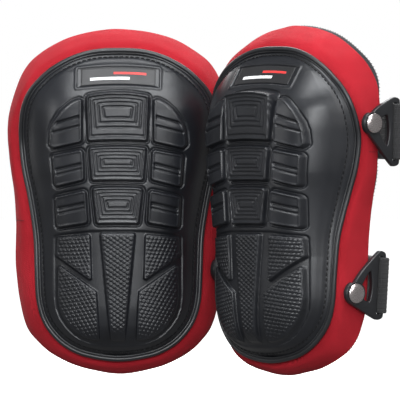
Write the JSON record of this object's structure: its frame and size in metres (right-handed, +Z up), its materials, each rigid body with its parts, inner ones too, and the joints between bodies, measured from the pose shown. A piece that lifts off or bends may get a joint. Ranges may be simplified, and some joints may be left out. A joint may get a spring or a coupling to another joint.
{
  "type": "knee pads",
  "caption": "Pair of work knee pads with moulded caps, padded fabric bases, gel and foam inserts, and elastic straps hooked on studs by flat swivelling clips.",
  "frame": {"origin": "middle of the left pad's knee seat, just behind its liner, at half height", "axes": "+Z up along the shin, -Y towards the front of the pads, +X to the viewer's right as the pair is seen from the front"},
  "size_m": [0.2861, 0.1991, 0.2517],
  "materials": {
    "cap": "satin",
    "piping": "semi-gloss",
    "badge": "matte",
    "eva_foam": "matte",
    "gel": "gloss",
    "red_fabric": "matte",
    "liner_fabric": "matte",
    "polished_metal": "polished",
    "clip_plastic": "semi-gloss",
    "webbing": "matte"
  },
  "bodies": {
    "left_pad": {"left_cap": "cap", "left_badge": "badge", "left_piping": "piping", "left_foam_insert": "eva_foam", "left_gel_pack": "gel", "left_base_cover": "red_fabric", "left_base_foam": "eva_foam", "left_base_liner": "liner_fabric", "left_upper_stud": "polished_metal", "left_upper_stud_washer": "polished_metal", "left_upper_strap": "webbing", "left_upper_strap_tail": "webbing", "left_upper_strap_patch": "webbing", "left_lower_stud": "polished_metal", "left_lower_stud_washer": "polished_metal", "left_lower_strap": "webbing", "left_lower_strap_tail": "webbing", "left_lower_strap_patch": "webbing"},
    "right_pad": {"right_cap": "cap", "right_badge": "badge", "right_piping": "piping", "right_foam_insert": "eva_foam", "right_gel_pack": "gel", "right_base_cover": "red_fabric", "right_base_foam": "eva_foam", "right_base_liner": "liner_fabric", "right_upper_stud": "polished_metal", "right_upper_stud_washer": "polished_metal", "right_upper_strap": "webbing", "right_upper_strap_tail": "webbing", "right_upper_strap_patch": "webbing", "right_lower_stud": "polished_metal", "right_lower_stud_washer": "polished_metal", "right_lower_strap": "webbing", "right_lower_strap_tail": "webbing", "right_lower_strap_patch": "webbing"},
    "left_upper_clip": {"left_upper_clip": "clip_plastic", "left_upper_strap_fold": "webbing"},
    "left_lower_clip": {"left_lower_clip": "clip_plastic", "left_lower_strap_fold": "webbing"},
    "right_upper_clip": {"right_upper_clip": "clip_plastic", "right_upper_strap_fold": "webbing"},
    "right_lower_clip": {"right_lower_clip": "clip_plastic", "right_lower_strap_fold": "webbing"}
  },
  "joints": [
    {"name": "right_pad_apart", "type": "slide", "parent": "left_pad", "child": "right_pad", "axis": [0.7071, -0.7071, 0], "range_m": [0, 0.25]},
    {"name": "left_upper_clip_swivel", "type": "hinge", "parent": "left_pad", "child": "left_upper_clip", "pos_m": [0.08714, 0.00567, 0.05132], "axis": [0.8328, -0.5531, -0.0252], "range_deg": [-15, 15]},
    {"name": "left_lower_clip_swivel", "type": "hinge", "parent": "left_pad", "child": "left_lower_clip", "pos_m": [0.07702, -0.00332, -0.05042], "axis": [0.8309, -0.5565, -0.0023], "range_deg": [-10, 10]},
    {"name": "right_upper_clip_swivel", "type": "hinge", "parent": "right_pad", "child": "right_upper_clip", "pos_m": [0.18535, -0.1287, 0.05518], "axis": [0.6252, -0.7801, -0.0233], "range_deg": [-15, 15]},
    {"name": "right_lower_clip_swivel", "type": "hinge", "parent": "right_pad", "child": "right_lower_clip", "pos_m": [0.1726, -0.12488, -0.0666], "axis": [0.6136, -0.7873, -0.0605], "range_deg": [-10, 10]}
  ]
}
